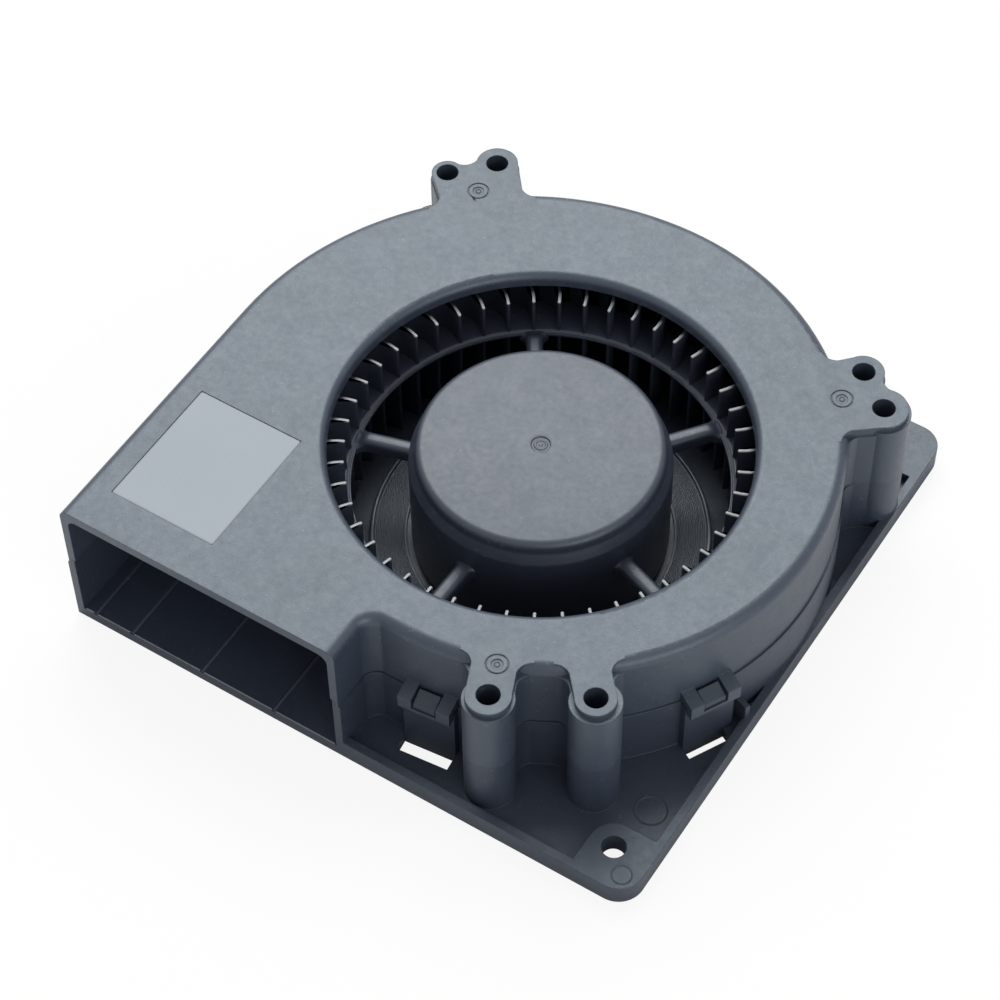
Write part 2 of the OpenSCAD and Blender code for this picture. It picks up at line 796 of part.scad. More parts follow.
module shaft() {
    color([0.75, 0.76, 0.78]) on_axis() difference() {
        translate([0, 0, clip_z - clip_t]) cylinder(r = shaft_r, h = yoke_top - clip_z + clip_t);
        translate([0, 0, clip_z]) ring(shaft_r + over, shaft_r - groove_d, clip_t);
    }
}

module retaining_clip() {
    color([0.45, 0.46, 0.48]) on_axis(clip_z) difference() {
        cylinder(r = shaft_r + race_w, h = clip_t);
        translate([0, 0, -over]) cylinder(r = shaft_r - groove_d + fit, h = clip_t + 2 * over);
        translate([0, -shaft_r / 2, -over]) cube([2 * shaft_r, shaft_r, clip_t + 2 * over]);
    }
}

// one point of the spring's wire: i along the coil, j round the wire
function spring_point(i, j) =
    let (a = 360 * i / spring_steps, b = 360 * j / spring_sides)
    let (rise = (bush_low - tube_top - 2 * spring_wire) * i / (spring_steps * spring_turns))
    let (r = shaft_r + spring_gap + spring_wire * (1 + cos(b)))
    [r * cos(a), r * sin(a), spring_wire + rise + spring_wire * sin(b)];

module preload_spring() {
    last = spring_steps * spring_turns;
    points = [for (i = [0:last], j = [0:spring_sides - 1]) spring_point(i, j)];
    sides = [for (i = [0:last - 1], j = [0:spring_sides - 1]) let (k = (j + 1) % spring_sides)
        [i * spring_sides + j, (i + 1) * spring_sides + j, (i + 1) * spring_sides + k, i * spring_sides + k]];
    ends = [[for (j = [0:spring_sides - 1]) j], [for (j = [spring_sides - 1:-1:0]) last * spring_sides + j]];
    color([0.6, 0.61, 0.63]) on_axis(tube_top) polyhedron(points, concat(sides, ends));
}

module bearing_tube() {
    open_z = clip_z - clip_t - gap;
    color([0.80, 0.66, 0.36]) on_axis() difference() {
        union() {
            translate([0, 0, tube_z]) cylinder(r = tube_out, h = tube_top - tube_z);
            translate([0, 0, collar_z]) cylinder(r = collar_r, h = collar_top - collar_z);
        }
        translate([0, 0, open_z]) cylinder(r = tube_in, h = low_bearing_z + bearing_h - open_z);
        translate([0, 0, low_bearing_z]) cylinder(r = step_r, h = body_h);
        translate([0, 0, high_bearing_z]) cylinder(r = tube_in, h = body_h);
    }
}

module low_outer_ring() {
    color([0.70, 0.71, 0.73]) on_axis(low_bearing_z) outer_ring();
}

module low_inner_ring() {
    color([0.72, 0.73, 0.75]) on_axis(low_bearing_z) inner_ring();
}

module low_ball_set() {
    color([0.80, 0.81, 0.83]) on_axis(low_bearing_z + bearing_h / 2) ball_set();
}

module high_outer_ring() {
    color([0.70, 0.71, 0.73]) on_axis(high_bearing_z) outer_ring();
}

module high_inner_ring() {
    color([0.72, 0.73, 0.75]) on_axis(high_bearing_z) inner_ring();
}

module high_ball_set() {
    color([0.80, 0.81, 0.83]) on_axis(high_bearing_z + bearing_h / 2) ball_set();
}

module stator_core() {
    color([0.50, 0.52, 0.55]) on_axis(stack_z) difference() {
        linear_extrude(stack_h) stator_plan();
        translate([0, 0, -over]) cylinder(r = tube_out + fit, h = stack_h + 2 * over);
    }
}

// insulator of one side, with the stator's own outline
module insulator(z) {
    on_axis(z) difference() {
        linear_extrude(insul_t) stator_plan();
        translate([0, 0, -over]) cylinder(r = tube_out + fit, h = insul_t + 2 * over);
    }
}

module low_insulator() {
    color([0.88, 0.87, 0.80]) difference() {
        insulator(stack_z - insul_t);
        pins(fit);
    }
}

module high_insulator() {
    color([0.88, 0.87, 0.80]) insulator(stack_z + stack_h);
}

module pins(add) {
    for (i = [0:3]) on_axis(board_z - gap) rotate([0, 0, 45 + 90 * i]) translate([pin_at, 0, 0])
        cylinder(r = pin_r + add, h = stack_z - board_z, $fn = 24);
}

// four coils, each round its arm and clear of the pole shoe's inner curve
module windings() {
    half = arm_w / 2 + coil_t;
    shoe_in = stator_r - shoe_t - gap;
    r0 = core_r + gap;
    r1 = sqrt(shoe_in * shoe_in - half * half);
    h = stack_h + 2 * insul_t + 2 * fit;
    color([0.72, 0.36, 0.16]) on_axis(stack_z + stack_h / 2)
        for (i = [0:3]) rotate([0, 0, 90 * i]) difference() {
            translate([r0, -half, -h / 2 - coil_t / 2]) cube([r1 - r0, 2 * half, h + coil_t]);
            translate([r0 - over, -arm_w / 2 - fit, -h / 2]) cube([r1 - r0 + 2 * over, arm_w + 2 * fit, h]);
        }
}

module circuit_board() {
    color([0.10, 0.35, 0.22]) difference() {
        on_axis(board_z) ring(board_r, tube_out + fit, board_t);
        pins(fit);
    }
}

module terminal_pins() {
    color([0.82, 0.82, 0.84]) pins(0);
}

module position_sensor() {
    color([0.12, 0.12, 0.13]) on_axis(board_z + board_t) rotate([0, 0, 45])
        translate([board_r - 2 * sensor[0], -sensor[1] / 2, 0]) cube(sensor);
}

module driver_chip() {
    color([0.12, 0.12, 0.13]) on_axis(board_z + board_t) rotate([0, 0, 225])
        translate([part_reach - chip[0] / 2, -chip[1] / 2, 0]) cube(chip);
}

module capacitor() {
    color([0.65, 0.66, 0.68]) on_axis(board_z + board_t) rotate([0, 0, 135]) translate([part_reach, 0, 0])
        cylinder(r = can_r, h = can_h, $fn = 48);
}

base();
cover();
label();
impeller();
rotor_cup();
ring_magnet();
shaft_bushing();
shaft();
retaining_clip();
preload_spring();
bearing_tube();
low_outer_ring();
low_inner_ring();
low_ball_set();
high_outer_ring();
high_inner_ring();
high_ball_set();
stator_core();
low_insulator();
high_insulator();
windings();
circuit_board();
terminal_pins();
position_sensor();
driver_chip();
capacitor();
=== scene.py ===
"""Looks of a dc blower fan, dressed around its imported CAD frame. Metres, Z up, outlet towards -Y."""
import math

import bpy
import numpy as np
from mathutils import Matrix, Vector


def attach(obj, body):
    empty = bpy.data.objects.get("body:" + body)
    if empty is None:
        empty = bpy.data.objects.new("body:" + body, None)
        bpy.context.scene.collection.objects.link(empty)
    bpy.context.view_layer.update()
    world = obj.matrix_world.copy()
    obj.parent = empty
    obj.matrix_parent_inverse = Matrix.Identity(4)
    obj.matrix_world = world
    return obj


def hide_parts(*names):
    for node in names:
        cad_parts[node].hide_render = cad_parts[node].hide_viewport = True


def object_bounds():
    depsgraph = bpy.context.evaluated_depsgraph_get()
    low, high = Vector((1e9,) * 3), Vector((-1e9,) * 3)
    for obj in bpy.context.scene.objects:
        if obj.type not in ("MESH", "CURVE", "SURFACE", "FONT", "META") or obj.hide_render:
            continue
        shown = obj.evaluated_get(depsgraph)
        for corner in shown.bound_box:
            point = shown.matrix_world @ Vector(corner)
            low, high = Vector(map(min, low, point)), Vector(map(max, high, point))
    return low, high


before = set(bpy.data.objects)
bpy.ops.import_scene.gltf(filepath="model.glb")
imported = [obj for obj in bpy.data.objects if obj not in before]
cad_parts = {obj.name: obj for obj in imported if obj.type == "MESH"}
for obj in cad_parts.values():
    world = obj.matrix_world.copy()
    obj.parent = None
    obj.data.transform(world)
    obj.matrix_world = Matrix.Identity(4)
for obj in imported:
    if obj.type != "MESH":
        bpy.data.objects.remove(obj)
cad_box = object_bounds()
MM = 0.001

# Camera: the photograph's viewing angle, fitted to the plate, the duct, the hub and the intake
CAMERA_PLACE_MM = (177.7, -279.3, 444.5)
CAMERA_TURN_DEG = (37.277, 0.519, 32.424)
CAMERA_LENS = 104.27
CAMERA_SENSOR = 36
CAMERA_REACH_M = 20

# Floor: how white the camera sees it near the blower and far off, and how far it lies under the plate
FLOOR_WHITE = 0.88
FLOOR_FADE_M = (0.2, 1.0)
FLOOR_HALF_M = 4.0
FLOOR_DROP_M = 0.0002

# Light: strength of the white world, its share in reflections, and the soft panels' place, size and watts
WORLD_LIGHT = 0.55
GLOSSY_WHITE = 0.3
PANEL_TARGET_M = (0, 0, 0.02)
PANELS = {
    "sky_panel": ((-0.47, 0.66, 1.03), (1.1, 0.8), 15.5),
    "side_panel": ((1.05, -0.5, 0.55), (0.8, 0.6), 4.5),
}

# Gloss of the plastics: its strength and its cool tint
PLASTIC_GLOSS = 0.72
PLASTIC_TINT = (0.84, 0.94, 0.985)
HUB_TINT = (0.84, 0.9, 0.92)

# Length of one wave of a wave texture at a scale of 1, in metres
WAVE_LENGTH = 0.314

# Sizes of the CAD model that the new pieces are built to, in millimetres
AXIS_MM = (4.8, -0.2)
AXIS_3D_MM = (*AXIS_MM, 0)
PLATE_T = 2.4
RIM_H = 4.5
BODY_TOP = 32.0
LABEL_BOX_MM = ((-53.98, -51.68), (-31.72, -24.12))
LABEL_Z = (31.7, 31.9)
SEAT_Z = 3.9
SEAT_R = (25.6, 31.45)
BEAD_R = (31.6, 32.35)
BEAD_Z = (4.2, 4.43)
HUB_R = 23.2
SKIRT_R = 24.4
HUB_TOP = 30.0
SKIRT_TOP = 26.8
HUB_LOW = 4.7
CUP_R = 22.26
CUP_TOP = 28.22
RING_R = (35.175, 43.575)
RING_Z = (19.0, 20.0)
RIB_TOP = 20.7
RIB_W = 3.2
RIB_T = 3.0
RIBS = 5
RIB_TURN_DEG = 52
BLADES = 47
BLADE_R = (35.975, 43.975)
BLADE_Z = (4.2, 28.0)
BLADE_T = 0.8
BLADE_TURN_DEG = 1.5

# Places along x where the duct's floor begins, its four grooves have their middles, and it ends
FLOOR_STOPS_MM = (-58.4, -55.66, -47.28, -31.3, -15.2, -1.3)

# Witness marks of the mould's pins: places on the cover, and place, height and radius on the plate
COVER_MARKS_MM = ((-37.98, 45.42), (46.92, 36.78), (24.72, -46.38))
COVER_MARK_R = 0.62
COVER_MARK_SINK = 0.14
COVER_MARK_RIM = 0.2
PLATE_MARKS_MM = (((53.7, -41.6), PLATE_T, 3.1), ((56.6, -56.6), RIM_H, 2.0))
PLATE_MARK_RIM = 0.26

# Blade: its sweep, the power by which it bends outwards, its draft, the round of its tip, and the colour, depth and
# radii of the painted highlight on its tip
BLADE_SWEEP_DEG = 6
BLADE_BEND = 3.5
BLADE_DRAFT = 0.08
TIP_ROUND = 0.09
TIP_HIGHLIGHT_COLOUR = (0.23, 0.24, 0.25)
TIP_HIGHLIGHT_DEPTH = 0.2
TIP_HIGHLIGHT_R = (38.2, 39.2)

# Radius at which a turned profile stops short of its axis, and the seam of a profile that closes on itself
POLE_R = 0.02
SEAM = 0.01

# Edges sharper than this stay sharp
SHARP_DEG = 40


# Materials

class Nodes:
    """Short calls for the nodes of one material: each returns the socket that the next one takes."""

    def __init__(self, name):
        self.material = bpy.data.materials.new(name)
        self.material.use_nodes = True
        self.tree = self.material.node_tree
        self.tree.nodes.clear()
        self.out = self.add("ShaderNodeOutputMaterial")
        self.shader = self.add("ShaderNodeBsdfPrincipled")
        self.link(self.shader.outputs["BSDF"], self.out.inputs["Surface"])
        self.place = self.add("ShaderNodeTexCoord").outputs["Object"]

    def add(self, kind):
        return self.tree.nodes.new(kind)

    def link(self, source, target):
        self.tree.links.new(source, target)

    def put(self, socket, value):
        """Links a socket, or sets a plain value."""
        if isinstance(value, bpy.types.NodeSocket):
            self.link(value, socket)
        else:
            socket.default_value = value

    def stretched(self, scale, centre=(0, 0, 0)):
        """Object coordinates in metres, moved to a centre and multiplied by a scale."""
        node = self.add("ShaderNodeMapping")
        self.link(self.place, node.inputs["Vector"])
        node.inputs["Scale"].default_value = scale
        node.inputs["Location"].default_value = [-c * s for c, s in zip(centre, scale)]
        return node.outputs["Vector"]

    def noise(self, size_mm, detail=2, roughness=0.5, vector=None):
        """Smooth noise whose features are about size_mm wide."""
        node = self.add("ShaderNodeTexNoise")
        self.link(vector or self.place, node.inputs["Vector"])
        node.inputs["Scale"].default_value = 1 / (size_mm * MM)
        node.inputs["Detail"].default_value = detail
        node.inputs["Roughness"].default_value = roughness
        return node.outputs["Fac"]

    def cells(self, size_mm):
        """Distance to the nearest of scattered points about size_mm apart."""
        node = self.add("ShaderNodeTexVoronoi")
        self.link(self.place, node.inputs["Vector"])
        node.inputs["Scale"].default_value = 1 / (size_mm * MM)
        return node.outputs["Distance"]

    def waves(self, kind, pitch_mm, distortion, vector):
        """Waves two pitches long, so that a line, light or dark, comes at each pitch."""
        node = self.add("ShaderNodeTexWave")
        node.wave_type = kind
        node.inputs["Scale"].default_value = WAVE_LENGTH / (2 * pitch_mm * MM)
        node.inputs["Distortion"].default_value = distortion
        self.link(vector, node.inputs["Vector"])
        return node

    def rings(self, pitch_mm, centre_mm, distortion=0.0):
        """Waves round an upright axis."""
        centred = self.stretched((1, 1, 1), [c * MM for c in centre_mm])
        node = self.waves("RINGS", pitch_mm, distortion, centred)
        node.rings_direction = "Z"
        return node.outputs["Fac"]

    def bands(self, pitch_mm, axis="Z", distortion=0.0):
        """Waves along one axis."""
        node = self.waves("BANDS", pitch_mm, distortion, self.place)
        node.bands_direction = axis
        return node.outputs["Fac"]

    def ramp(self, value, low, high, to_low=0.0, to_high=1.0):
        """Carries the range low..high of a value over to another range, held at its ends."""
        node = self.add("ShaderNodeMapRange")
        self.link(value, node.inputs["Value"])
        for name, x in (("From Min", low), ("From Max", high), ("To Min", to_low), ("To Max", to_high)):
            node.inputs[name].default_value = x
        return node.outputs["Result"]

    def blend(self, share, a, b):
        """Mixes two colours by a share."""
        node = self.add("ShaderNodeMix")
        node.data_type = "RGBA"
        self.put(node.inputs["Factor"], share)
        self.put(node.inputs[6], a)
        self.put(node.inputs[7], b)
        return node.outputs[2]

    def sum(self, a, b, weight=1.0):
        """a plus b times a weight."""
        node = self.add("ShaderNodeMath")
        node.operation = "MULTIPLY_ADD"
        self.put(node.inputs[0], b)
        self.put(node.inputs[1], weight)
        self.put(node.inputs[2], a)
        return node.outputs[0]

    def bump(self, height, depth_mm, below=None):
        """Bump from a height of 0 to 1, as deep as depth_mm, over another bump."""
        node = self.add("ShaderNodeBump")
        node.inputs["Distance"].default_value = depth_mm * MM
        self.link(height, node.inputs["Height"])
        if below is not None:
            self.link(below, node.inputs["Normal"])
        return node.outputs["Normal"]

    def soft_edge(self, radius_mm):
        """Normals rounded over at the edges, as a mould leaves them."""
        node = self.add("ShaderNodeBevel")
        node.samples = 4
        node.inputs["Radius"].default_value = radius_mm * MM
        return node.outputs["Normal"]

    def from_axis(self):
        """Distance from the fan's axis, in metres."""
        node = self.add("ShaderNodeVectorMath")
        node.operation = "LENGTH"
        self.link(self.stretched((1, 1, 0), [c * MM for c in AXIS_3D_MM]), node.inputs[0])
        return node.outputs["Value"]

    def finish(self, colour, roughness, normal, metallic=0.0, specular=0.5, tint=(1, 1, 1)):
        s = self.shader.inputs
        self.put(s["Base Color"], colour)
        self.put(s["Roughness"], roughness)
        self.link(normal, s["Normal"])
        s["Metallic"].default_value = metallic
        s["Specular IOR Level"].default_value = specular
        s["Specular Tint"].default_value = rgb(*tint)
        return self.material


def rgb(*values):
    return tuple(values) + (1.0,)


def painted_tip_highlight(n):
    """Share of the painted tip highlight: 1 on the inner end of a blade's top, fading out over the highlight radii
    and below the top.
    """
    split = n.add("ShaderNodeSeparateXYZ")
    n.link(n.place, split.inputs[0])
    off_axis = n.from_axis()
    inside = n.ramp(off_axis, (BLADE_R[0] - 0.3) * MM, (BLADE_R[0] - 0.2) * MM)
    outside = n.ramp(off_axis, TIP_HIGHLIGHT_R[0] * MM, TIP_HIGHLIGHT_R[1] * MM, to_low=0.0, to_high=-1.0)
    highlight_z = BLADE_Z[1] - TIP_HIGHLIGHT_DEPTH
    high = n.ramp(split.outputs[2], (highlight_z - 0.1) * MM, highlight_z * MM)
    return n.ramp(n.sum(n.sum(high, inside), outside), low=1.2, high=2.0)


def spark_plastic(name, dark, light, rough, grain_mm, depth_mm, edge_mm=0.25, tip_highlight=False, tint=PLASTIC_TINT):
    """Moulded plastic off a spark-eroded tool: fine grain, faint flow clouds, softened edges, dust and a few pale
    specks. With tip_highlight, the blades' tips get a painted highlight: a paler colour, and a lower roughness."""
    n = Nodes(name)
    cloud = n.noise(26, detail=3, roughness=0.55)
    patch = n.noise(4.5, detail=3, roughness=0.6)
    grain = n.noise(grain_mm, detail=3, roughness=0.7)
    tone = n.sum(n.sum(cloud, patch, 0.3), grain, 0.25)
    base = n.blend(n.ramp(tone, low=0.6, high=1.0), rgb(*dark), rgb(*light))
    specks = n.ramp(n.cells(4.6), low=0.02, high=0.045, to_low=0.7, to_high=0.0)
    dust = n.ramp(n.noise(0.6), low=0.66, high=0.76, to_low=0.0, to_high=0.6)
    shade = n.blend(n.sum(specks, dust), base, rgb(*[3.0 * c for c in light]))
    mottle = n.sum(n.sum(n.noise(1.2, detail=3, roughness=0.65), patch, 0.7), grain, 0.5)
    roughness = n.ramp(mottle, low=0.85, high=1.35, to_low=rough - 0.05, to_high=rough + 0.05)
    if tip_highlight:
        # Painted highlight: the blades' tips are painted paler where the lamp's highlight falls, and made smoother
        # there.
        tip = painted_tip_highlight(n)
        shade = n.blend(tip, shade, rgb(*TIP_HIGHLIGHT_COLOUR))
        roughness = n.sum(roughness, tip, -0.1)
    pits = n.ramp(n.cells(0.9), low=0.0, high=0.3)
    waviness = n.bump(n.noise(18), 0.04, n.soft_edge(edge_mm))
    normal = n.bump(grain, depth_mm, n.bump(pits, 0.004, waviness))
    return n.finish(shade, roughness, normal, specular=PLASTIC_GLOSS, tint=tint)


def turned_metal(name, dark, light, centre_mm, pitch_mm=0.12):
    """Metal turned on a lathe: fine rings round the axis, stained a little."""
    n = Nodes(name)
    rings = n.rings(pitch_mm, centre_mm, distortion=0.4)
    stain = n.noise(2.4, detail=4, roughness=0.6)
    colour = n.blend(n.ramp(n.sum(stain, rings, 0.15), low=0.4, high=0.8), rgb(*dark), rgb(*light))
    normal = n.bump(rings, 0.004, n.bump(n.noise(0.5), 0.004))
    return n.finish(colour, n.ramp(stain, low=0.35, high=0.7, to_low=0.2, to_high=0.36), normal, metallic=1.0)


def pressed_steel(name, dark, light):
    """Pressed sheet steel: drawn streaks along its height and a mottled zinc finish."""
    n = Nodes(name)
    streaks = n.noise(0.5, detail=3, roughness=0.6, vector=n.stretched((1, 1, 0.06)))
    spangle = n.cells(2.2)
    colour = n.blend(n.ramp(n.sum(spangle, streaks, 0.5), low=0.3, high=1.0), rgb(*dark), rgb(*light))
    normal = n.bump(streaks, 0.006, n.bump(spangle, 0.004))
    return n.finish(colour, n.ramp(streaks, low=0.35, high=0.7, to_low=0.28, to_high=0.45), normal, metallic=1.0)


def sintered_magnet(name):
    """Bonded ferrite: a near-black matt body with fine grey grains."""
    n = Nodes(name)
    grains = n.cells(0.35)
    colour = n.blend(n.ramp(grains, low=0.1, high=0.6), rgb(0.055, 0.05, 0.048), rgb(0.02, 0.019, 0.019))
    normal = n.bump(grains, 0.02, n.bump(n.noise(2.5, detail=3), 0.03))
    return n.finish(colour, n.ramp(n.noise(1.2), low=0.3, high=0.7, to_low=0.6, to_high=0.8), normal)


def wound_copper(name):
    """Enamelled wire laid turn by turn: round-backed bands with the red-brown of the enamel."""
    n = Nodes(name)
    lay = n.sum(n.bands(0.32, "X", 0.3), n.bands(0.32, "Y", 0.3))
    colour = n.blend(n.ramp(lay, low=0.4, high=1.6), rgb(0.12, 0.035, 0.012), rgb(0.62, 0.26, 0.1))
    normal = n.bump(lay, 0.08, n.bump(n.noise(0.6), 0.02))
    gloss = n.ramp(n.noise(1.5), low=0.3, high=0.7, to_low=0.22, to_high=0.38)
    return n.finish(colour, gloss, normal, metallic=0.7)


def stacked_steel(name):
    """Punched plates of silicon steel with dark joints between them and blued edges."""
    n = Nodes(name)
    plates = n.bands(0.5, "Z")
    blue = n.noise(3, detail=3)
    face = n.blend(n.ramp(blue, low=0.35, high=0.65), rgb(0.3, 0.31, 0.34), rgb(0.42, 0.43, 0.45))
    joints = n.ramp(plates, low=0.0, high=0.22, to_low=0.8, to_high=0.0)
    colour = n.blend(joints, face, rgb(0.06, 0.055, 0.06))
    normal = n.bump(plates, 0.04, n.bump(n.noise(0.4), 0.01))
    return n.finish(colour, n.ramp(blue, low=0.3, high=0.7, to_low=0.3, to_high=0.5), normal, metallic=0.9)


def board_laminate(name):
    """Glass laminate under green resist: the weave shows faintly, with tinned spots of copper."""
    n = Nodes(name)
    weave = n.sum(n.bands(0.6, "X", 0.5), n.bands(0.6, "Y", 0.5))
    cloud = n.noise(6, detail=3)
    tone = n.ramp(n.sum(cloud, weave, 0.1), low=0.4, high=0.8)
    resist = n.blend(tone, rgb(0.012, 0.09, 0.045), rgb(0.02, 0.15, 0.07))
    pads = n.ramp(n.cells(3.4), low=0.09, high=0.12, to_low=1.0, to_high=0.0)
    colour = n.blend(pads, resist, rgb(0.6, 0.6, 0.58))
    normal = n.bump(weave, 0.01, n.bump(pads, 0.03))
    return n.finish(colour, n.ramp(cloud, low=0.35, high=0.7, to_low=0.25, to_high=0.42), normal)


def pale_nylon(name):
    """Pale glass-filled nylon: waxy, with fine fibres and slight yellowing."""
    n = Nodes(name)
    fibres = n.noise(0.3, detail=3, roughness=0.7, vector=n.stretched((1, 0.25, 1)))
    cloud = n.noise(5, detail=3)
    tone = n.ramp(n.sum(cloud, fibres, 0.3), low=0.4, high=0.85)
    colour = n.blend(tone, rgb(0.55, 0.51, 0.4), rgb(0.68, 0.65, 0.54))
    normal = n.bump(fibres, 0.012, n.bump(n.noise(3), 0.03))
    return n.finish(colour, n.ramp(cloud, low=0.35, high=0.7, to_low=0.4, to_high=0.55), normal)


def polished_steel(name, size_mm=0.8):
    """Ground bearing steel: bright, with the faintest scratches and an oil film."""
    n = Nodes(name)
    film = n.noise(size_mm, detail=3)
    colour = n.blend(n.ramp(film, low=0.35, high=0.65), rgb(0.52, 0.53, 0.55), rgb(0.72, 0.73, 0.75))
    normal = n.bump(n.noise(0.15), 0.002, n.bump(film, 0.004))
    return n.finish(colour, n.ramp(film, low=0.35, high=0.7, to_low=0.12, to_high=0.26), normal, metallic=1.0)


def silver_film(name):
    """Blank silver-grey polyester film: fine brushed lines, faint clouding and a soft satin gloss."""
    n = Nodes(name)
    lines = n.noise(0.3, detail=3, roughness=0.6, vector=n.stretched((1, 0.05, 1)))
    cloud = n.noise(13, detail=3)
    scuffs = n.ramp(n.noise(2.2, detail=4, roughness=0.7), low=0.6, high=0.75)
    tone = n.sum(n.sum(cloud, lines, 0.2), scuffs, 0.06)
    colour = n.blend(n.ramp(tone, low=0.42, high=0.8), rgb(0.235, 0.262, 0.293), rgb(0.285, 0.312, 0.345))
    normal = n.bump(lines, 0.002, n.bump(cloud, 0.06, n.soft_edge(0.1)))
    gloss = n.ramp(tone, low=0.4, high=0.85, to_low=0.4, to_high=0.52)
    return n.finish(colour, gloss, normal, specular=0.45, tint=PLASTIC_TINT)


def chip_mould(name):
    """Black moulding compound of a small part, matt with a fine grain."""
    n = Nodes(name)
    grain = n.noise(0.12, detail=3, roughness=0.7)
    colour = n.blend(n.ramp(grain, low=0.35, high=0.7), rgb(0.018, 0.018, 0.02), rgb(0.035, 0.035, 0.038))
    normal = n.bump(grain, 0.01, n.bump(n.noise(0.9), 0.02))
    return n.finish(colour, n.ramp(grain, low=0.3, high=0.7, to_low=0.45, to_high=0.6), normal)


# Surfaces

def arc_corners(corners, steps):
    """Path through corners (r, z, rounding): each corner is replaced by an arc that touches both its straight
    sides, and a corner with no rounding stays."""
    corners = np.array(corners, float)
    path = [corners[0, :2]]
    for before, (x, y, radius), after in zip(corners[:-2], corners[1:-1], corners[2:]):
        corner = np.array((x, y))
        into, out = before[:2] - corner, after[:2] - corner
        into, out = into / np.linalg.norm(into), out / np.linalg.norm(out)
        half = math.acos(np.clip(into @ out, -1, 1)) / 2
        if radius == 0:
            path.append(corner)
            continue
        middle = corner + (into + out) / np.linalg.norm(into + out) * radius / math.sin(half)
        first = math.atan2(*(corner + into * radius / math.tan(half) - middle)[::-1])
        last = math.atan2(*(corner + out * radius / math.tan(half) - middle)[::-1])
        sweep = (last - first + math.pi) % (2 * math.pi) - math.pi
        angles = first + sweep * np.linspace(0, 1, steps)
        path.extend(middle + radius * np.stack([np.cos(angles), np.sin(angles)], 1))
    path.append(corners[-1, :2])
    return np.array(path)


def shell(rows, joined=False):
    """Closed skin over a grid of points (rows x points): neighbours are joined round each row, and the first and
    last rows are joined to each other or closed by a fan to their middle. Faces are turned outwards by the sign of
    the volume."""
    m, n = rows.shape[:2]
    index = np.arange(m * n).reshape(m, n)
    below = index if joined else index[:-1]
    above = np.roll(index, -1, 0) if joined else index[1:]
    quads = np.stack([below, np.roll(below, -1, 1), np.roll(above, -1, 1), above], -1).reshape(-1, 4)
    points = rows.reshape(-1, 3)
    triangles = np.concatenate([quads[:, [0, 1, 2]], quads[:, [0, 2, 3]]])
    fans = np.zeros((0, 3), int)
    if not joined:
        points = np.vstack([points, rows[0].mean(0), rows[-1].mean(0)])
        first, last = index[0], index[-1]
        fans = np.concatenate([
            np.stack([np.full(n, m * n), np.roll(first, -1), first], 1),
            np.stack([np.full(n, m * n + 1), last, np.roll(last, -1)], 1)])
        triangles = np.concatenate([triangles, fans])
    a, b, c = (points[triangles[:, k]] for k in range(3))
    if np.einsum("ij,ij->", a, np.cross(b, c)) < 0:
        quads, fans = quads[:, ::-1], fans[:, ::-1]
    return points, quads, fans


def lathe(profile, steps, centre=AXIS_MM):
    """Profile (r, z) turned round an upright axis: x = r cos a, y = r sin a for steps equal angles a."""
    angle = np.linspace(0, 2 * math.pi, steps, endpoint=False)
    r, z = profile[:, 0, None], profile[:, 1, None]
    return np.stack([centre[0] + r * np.cos(angle), centre[1] + r * np.sin(angle), z + 0 * angle], -1)


def turned(points, degrees):
    """Copies of points turned about the fan's axis, one for each angle."""
    a = np.radians(degrees)[:, None]
    x, y = points[:, 0] - AXIS_MM[0], points[:, 1] - AXIS_MM[1]
    across = AXIS_MM[0] + x * np.cos(a) - y * np.sin(a)
    along = AXIS_MM[1] + x * np.sin(a) + y * np.cos(a)
    return np.stack([across, along, points[:, 2] + 0 * a], -1)


def copies(skin, degrees):
    """One skin repeated round the axis: its faces are numbered on for each copy."""
    points, quads, fans = skin
    count = len(degrees)
    step = np.arange(count)[:, None, None] * len(points)
    return (turned(points, np.array(degrees)).reshape(-1, 3),
            (quads + step).reshape(-1, 4), (fans + step).reshape(-1, 3))


def piece(name, shells, material, body, slot, *nodes):
    """One object from several closed skins, smooth but for its sharp edges. It rides on a body and stands for any
    nodes given."""
    points, faces, start = [], [], 0
    for skin, quads, fans in shells:
        points.append(skin)
        faces += (quads + start).tolist() + (fans + start).tolist()
        start += len(skin)
    mesh = bpy.data.meshes.new(name)
    mesh.from_pydata((np.concatenate(points) * MM).tolist(), [], faces)
    mesh.shade_smooth()
    mesh.set_sharp_from_angle(angle=math.radians(SHARP_DEG))
    mesh.materials.append(material)
    thing = bpy.data.objects.new(name, mesh)
    bpy.context.scene.collection.objects.link(thing)
    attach(thing, body)
    if nodes:
        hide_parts(*nodes)


def hub_shell():
    """The hub's cap turned as one profile: centre mark, flat top, large round edge, slope, skirt and hollow
    inside."""
    mark_depths = ((POLE_R, 0.1), (0.32, 0.1), (0.42, 0.2), (0.8, 0.2), (0.9, 0.1), (1.2, 0.1),
                   (1.32, 0.24), (1.7, 0.24), (1.82, 0.04), (1.95, 0))
    mark = [(r, HUB_TOP - depth) for r, depth in mark_depths]
    large, small = 1.5, 0.3
    outside = arc_corners([
        (2.4, HUB_TOP, 0), (HUB_R, HUB_TOP, large), (HUB_R, SKIRT_TOP + 0.9, large),
        (SKIRT_R - 0.08, SKIRT_TOP - 1.1, 0.5), (SKIRT_R, SKIRT_TOP - 1.5, 0.4), (SKIRT_R, HUB_LOW, small),
        (CUP_R, HUB_LOW, small), (CUP_R, CUP_TOP, 0.4), (POLE_R, CUP_TOP, 0)], 7)
    return shell(lathe(np.vstack([mark, outside]), 192))


